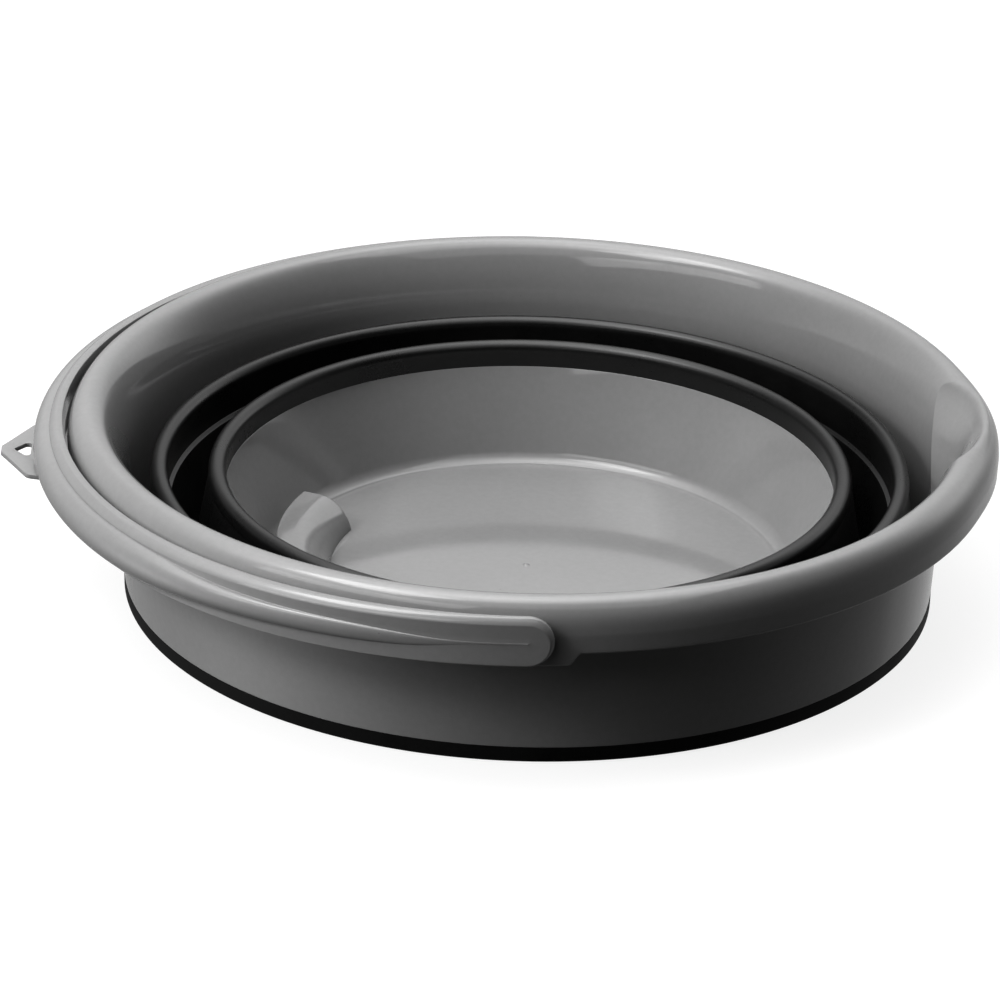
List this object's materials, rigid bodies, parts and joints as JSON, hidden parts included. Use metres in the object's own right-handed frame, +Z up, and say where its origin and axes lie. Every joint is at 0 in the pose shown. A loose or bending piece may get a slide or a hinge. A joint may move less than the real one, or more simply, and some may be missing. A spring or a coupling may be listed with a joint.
{
  "type": "collapsible bucket",
  "caption": "Round collapsible bucket folded flat: rigid spouted rim ring, folding rubber wall, rigid base cup with a finger grip, and a swinging bail handle with a hanging tab.",
  "frame": {"origin": "on the bucket's axis, at the level it stands on; the centre of the floor's underside lies 2 mm above it", "axes": "+Z up out of the bucket, +X towards the pouring spout, -X towards the middle of the folded handle and its tab, Y along the handle's pivot axis"},
  "size_m": [0.3458, 0.329, 0.0675],
  "materials": {
    "grey_plastic": "moulded polypropylene, neutral mid grey, glossy",
    "black_rubber": "soft thermoplastic rubber, black, satin"
  },
  "bodies": {
    "base": {"base_cup": "grey_plastic", "base_bead": "black_rubber", "inner_fold_wall": "black_rubber"},
    "mid_band": {"mid_wall_band": "black_rubber", "outer_fold_wall": "black_rubber"},
    "ring": {"rim_ring": "grey_plastic", "edge_band": "black_rubber"},
    "handle": {"carry_handle": "grey_plastic", "hang_tab": "grey_plastic"}
  },
  "joints": [
    {"name": "lower_fold", "type": "slide", "parent": "base", "child": "mid_band", "axis": [0, 0, 1], "range_m": [0, 0.067], "deforming": ["inner_fold_wall"]},
    {"name": "upper_fold", "type": "slide", "parent": "mid_band", "child": "ring", "axis": [0, 0, 1], "range_m": [0, 0.0776], "deforming": ["outer_fold_wall"]},
    {"name": "handle_swing", "type": "hinge", "parent": "ring", "child": "handle", "pos_m": [0, 0, 0.055], "axis": [0, 1, 0], "range_deg": [0, 170]}
  ]
}
